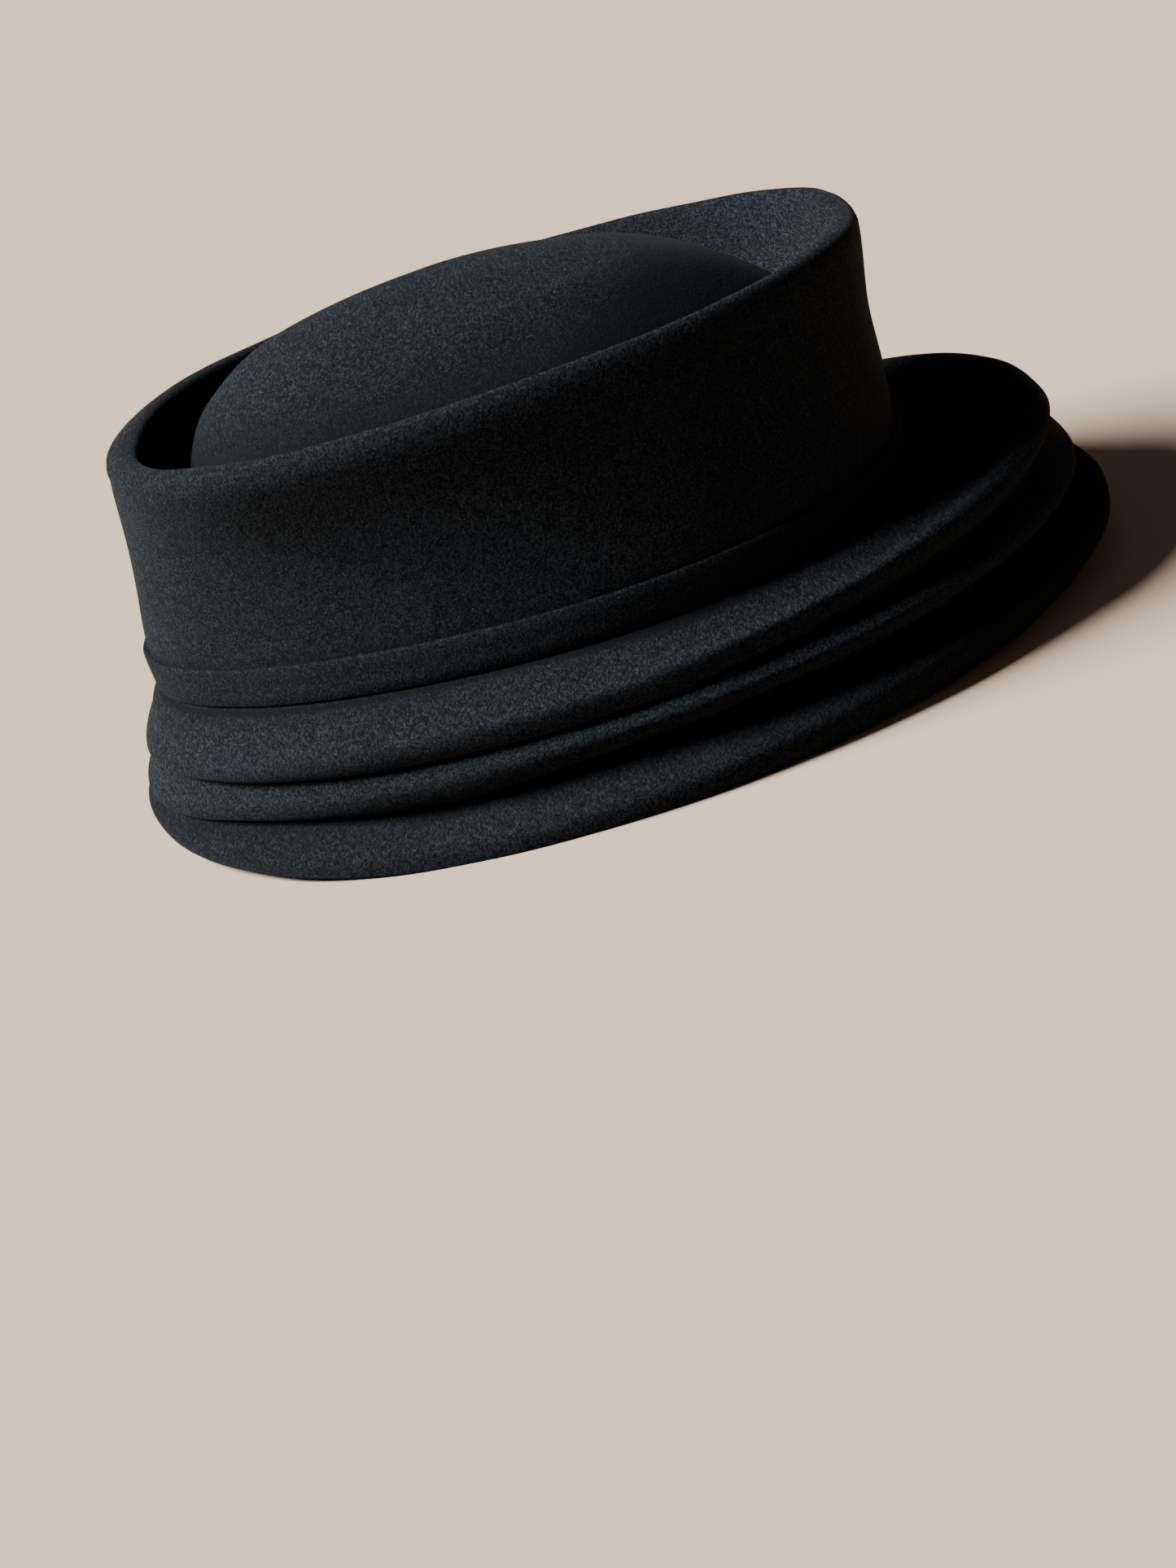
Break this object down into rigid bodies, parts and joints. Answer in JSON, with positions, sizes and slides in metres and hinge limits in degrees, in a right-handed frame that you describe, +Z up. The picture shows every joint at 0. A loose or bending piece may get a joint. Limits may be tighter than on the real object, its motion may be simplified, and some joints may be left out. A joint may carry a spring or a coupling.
{
  "type": "pork pie hat",
  "caption": "Black felt pork pie hat with a sunk, domed crown, a narrow felt band and a short brim rolled in tiers.",
  "frame": {"origin": "bottom centre of the hat's box, on the surface that the hat rests on", "axes": "+Z up through the crown, -Y towards the forehead side, +Y towards the back, +X towards the wearer's left side"},
  "size_m": [0.2146, 0.2672, 0.1146],
  "materials": {
    "felt": "matte napped felt",
    "band_felt": "matte felt with a raw cut edge"
  },
  "bodies": {
    "root": {"crown": "felt", "brim": "felt", "hat_band": "band_felt"}
  },
  "joints": []
}
